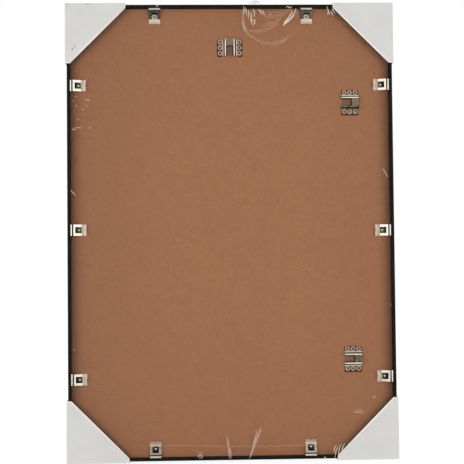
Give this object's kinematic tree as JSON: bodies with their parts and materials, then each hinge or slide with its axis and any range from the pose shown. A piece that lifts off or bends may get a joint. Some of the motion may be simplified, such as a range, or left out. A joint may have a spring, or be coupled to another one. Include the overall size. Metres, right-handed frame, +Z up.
{
  "type": "clip-back picture frame",
  "caption": "Slim black picture frame with a hardboard back held by sprung metal clips, stamped nail hangers and card corner protectors.",
  "frame": {"origin": "the middle of the seat edge of the portrait hanger's bridge, at half its thickness, where a nail carries the frame", "axes": "+Z up along the frame's height, -Y out of the picture side, +Y out of the hardboard back towards the wall, +X to the right as seen from the front"},
  "size_m": [0.5138, 0.0218, 0.7138],
  "materials": {
    "rail_plastic": "black, low sheen, fine extrusion lines",
    "nail_steel": "bright steel",
    "pane_glass": "clear float glass",
    "insert_paper": "plain matt paper",
    "hardboard": "smooth brown hardboard, faintly mottled",
    "hanger_steel": "zinc plated, slightly yellowed",
    "clip_steel": "nickel plated spring steel",
    "protector_card": "white lined card"
  },
  "bodies": {
    "frame": {"rail_top": "rail_plastic", "rail_bottom": "rail_plastic", "rail_left": "rail_plastic", "rail_right": "rail_plastic", "corner_v_nails": "nail_steel", "glazing_pane": "pane_glass", "insert_sheet": "insert_paper", "backing_board": "hardboard", "hanger_portrait": "hanger_steel", "hanger_landscape_upper": "hanger_steel", "hanger_landscape_lower": "hanger_steel"},
    "clip_top_left": {"clip_top_left": "clip_steel"},
    "clip_bottom_left": {"clip_bottom_left": "clip_steel"},
    "clip_left_upper": {"clip_left_upper": "clip_steel"},
    "clip_left_middle": {"clip_left_middle": "clip_steel"},
    "clip_left_lower": {"clip_left_lower": "clip_steel"},
    "clip_top_right": {"clip_top_right": "clip_steel"},
    "clip_bottom_right": {"clip_bottom_right": "clip_steel"},
    "clip_right_upper": {"clip_right_upper": "clip_steel"},
    "clip_right_middle": {"clip_right_middle": "clip_steel"},
    "clip_right_lower": {"clip_right_lower": "clip_steel"},
    "protector_top_right": {"protector_top_right": "protector_card"},
    "protector_bottom_right": {"protector_bottom_right": "protector_card"},
    "protector_bottom_left": {"protector_bottom_left": "protector_card"},
    "protector_top_left": {"protector_top_left": "protector_card"}
  },
  "joints": [
    {"name": "clip_top_left_release", "type": "slide", "parent": "frame", "child": "clip_top_left", "axis": [0, 0, -1], "range_m": [0, 0.004]},
    {"name": "clip_bottom_left_release", "type": "slide", "parent": "frame", "child": "clip_bottom_left", "axis": [0, 0, 1], "range_m": [0, 0.004]},
    {"name": "clip_left_upper_release", "type": "slide", "parent": "frame", "child": "clip_left_upper", "axis": [1, 0, 0], "range_m": [0, 0.004]},
    {"name": "clip_left_middle_release", "type": "slide", "parent": "frame", "child": "clip_left_middle", "axis": [1, 0, 0], "range_m": [0, 0.004]},
    {"name": "clip_left_lower_release", "type": "slide", "parent": "frame", "child": "clip_left_lower", "axis": [1, 0, 0], "range_m": [0, 0.004]},
    {"name": "clip_top_right_release", "type": "slide", "parent": "frame", "child": "clip_top_right", "axis": [0, 0, -1], "range_m": [0, 0.004]},
    {"name": "clip_bottom_right_release", "type": "slide", "parent": "frame", "child": "clip_bottom_right", "axis": [0, 0, 1], "range_m": [0, 0.004]},
    {"name": "clip_right_upper_release", "type": "slide", "parent": "frame", "child": "clip_right_upper", "axis": [-1, 0, 0], "range_m": [0, 0.004]},
    {"name": "clip_right_middle_release", "type": "slide", "parent": "frame", "child": "clip_right_middle", "axis": [-1, 0, 0], "range_m": [0, 0.004]},
    {"name": "clip_right_lower_release", "type": "slide", "parent": "frame", "child": "clip_right_lower", "axis": [-1, 0, 0], "range_m": [0, 0.004]},
    {"name": "protector_top_right_pull_off", "type": "slide", "parent": "frame", "child": "protector_top_right", "axis": [0.7071, 0, 0.7071], "range_m": [0, 0.075]},
    {"name": "protector_bottom_right_pull_off", "type": "slide", "parent": "frame", "child": "protector_bottom_right", "axis": [0.7071, 0, -0.7071], "range_m": [0, 0.075]},
    {"name": "protector_bottom_left_pull_off", "type": "slide", "parent": "frame", "child": "protector_bottom_left", "axis": [-0.7071, 0, -0.7071], "range_m": [0, 0.075]},
    {"name": "protector_top_left_pull_off", "type": "slide", "parent": "frame", "child": "protector_top_left", "axis": [-0.7071, 0, 0.7071], "range_m": [0, 0.075]}
  ]
}
